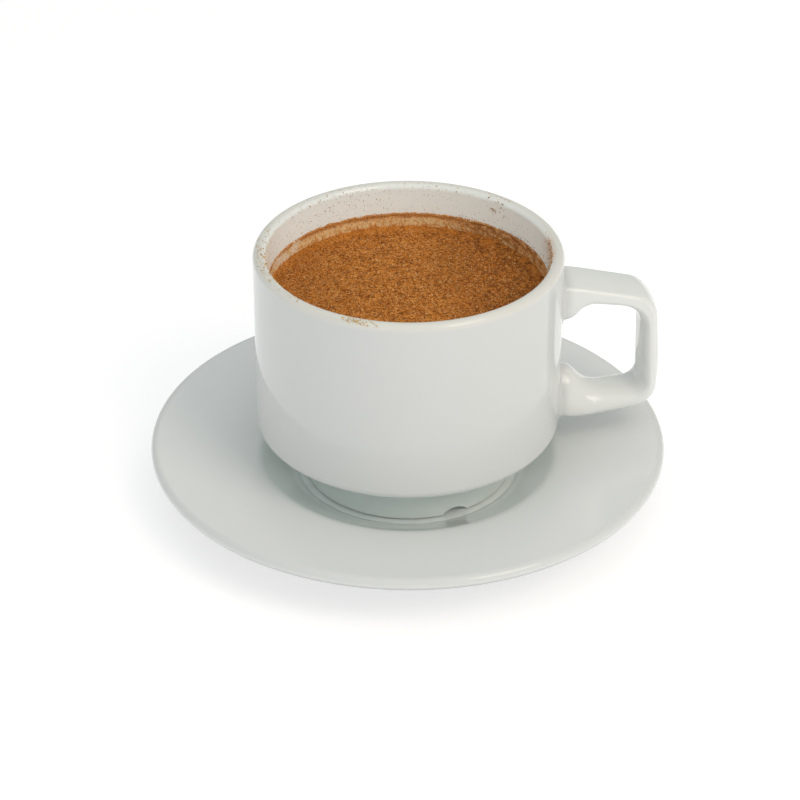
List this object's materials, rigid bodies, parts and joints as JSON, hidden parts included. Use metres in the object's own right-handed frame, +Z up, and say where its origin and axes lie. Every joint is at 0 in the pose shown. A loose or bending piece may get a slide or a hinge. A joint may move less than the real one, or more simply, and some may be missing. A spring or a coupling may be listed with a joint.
{
  "type": "cup of salep on a saucer",
  "caption": "Straight-sided handled porcelain cup on a saucer, filled with a thick milk drink dusted with cinnamon.",
  "frame": {"origin": "on the common axis of cup and saucer, on the surface the saucer's foot ring stands on", "axes": "+Z up along the cup's axis, +X towards the cup's handle"},
  "size_m": [0.15, 0.15, 0.0779],
  "materials": {
    "saucer_porcelain": "glossy clear glaze on white porcelain",
    "cup_porcelain": "glossy clear glaze on white porcelain",
    "salep": "matt powdered cinnamon on a thick milk drink"
  },
  "bodies": {
    "root": {"saucer": "saucer_porcelain", "cup": "cup_porcelain", "salep_drink": "salep"}
  },
  "joints": []
}
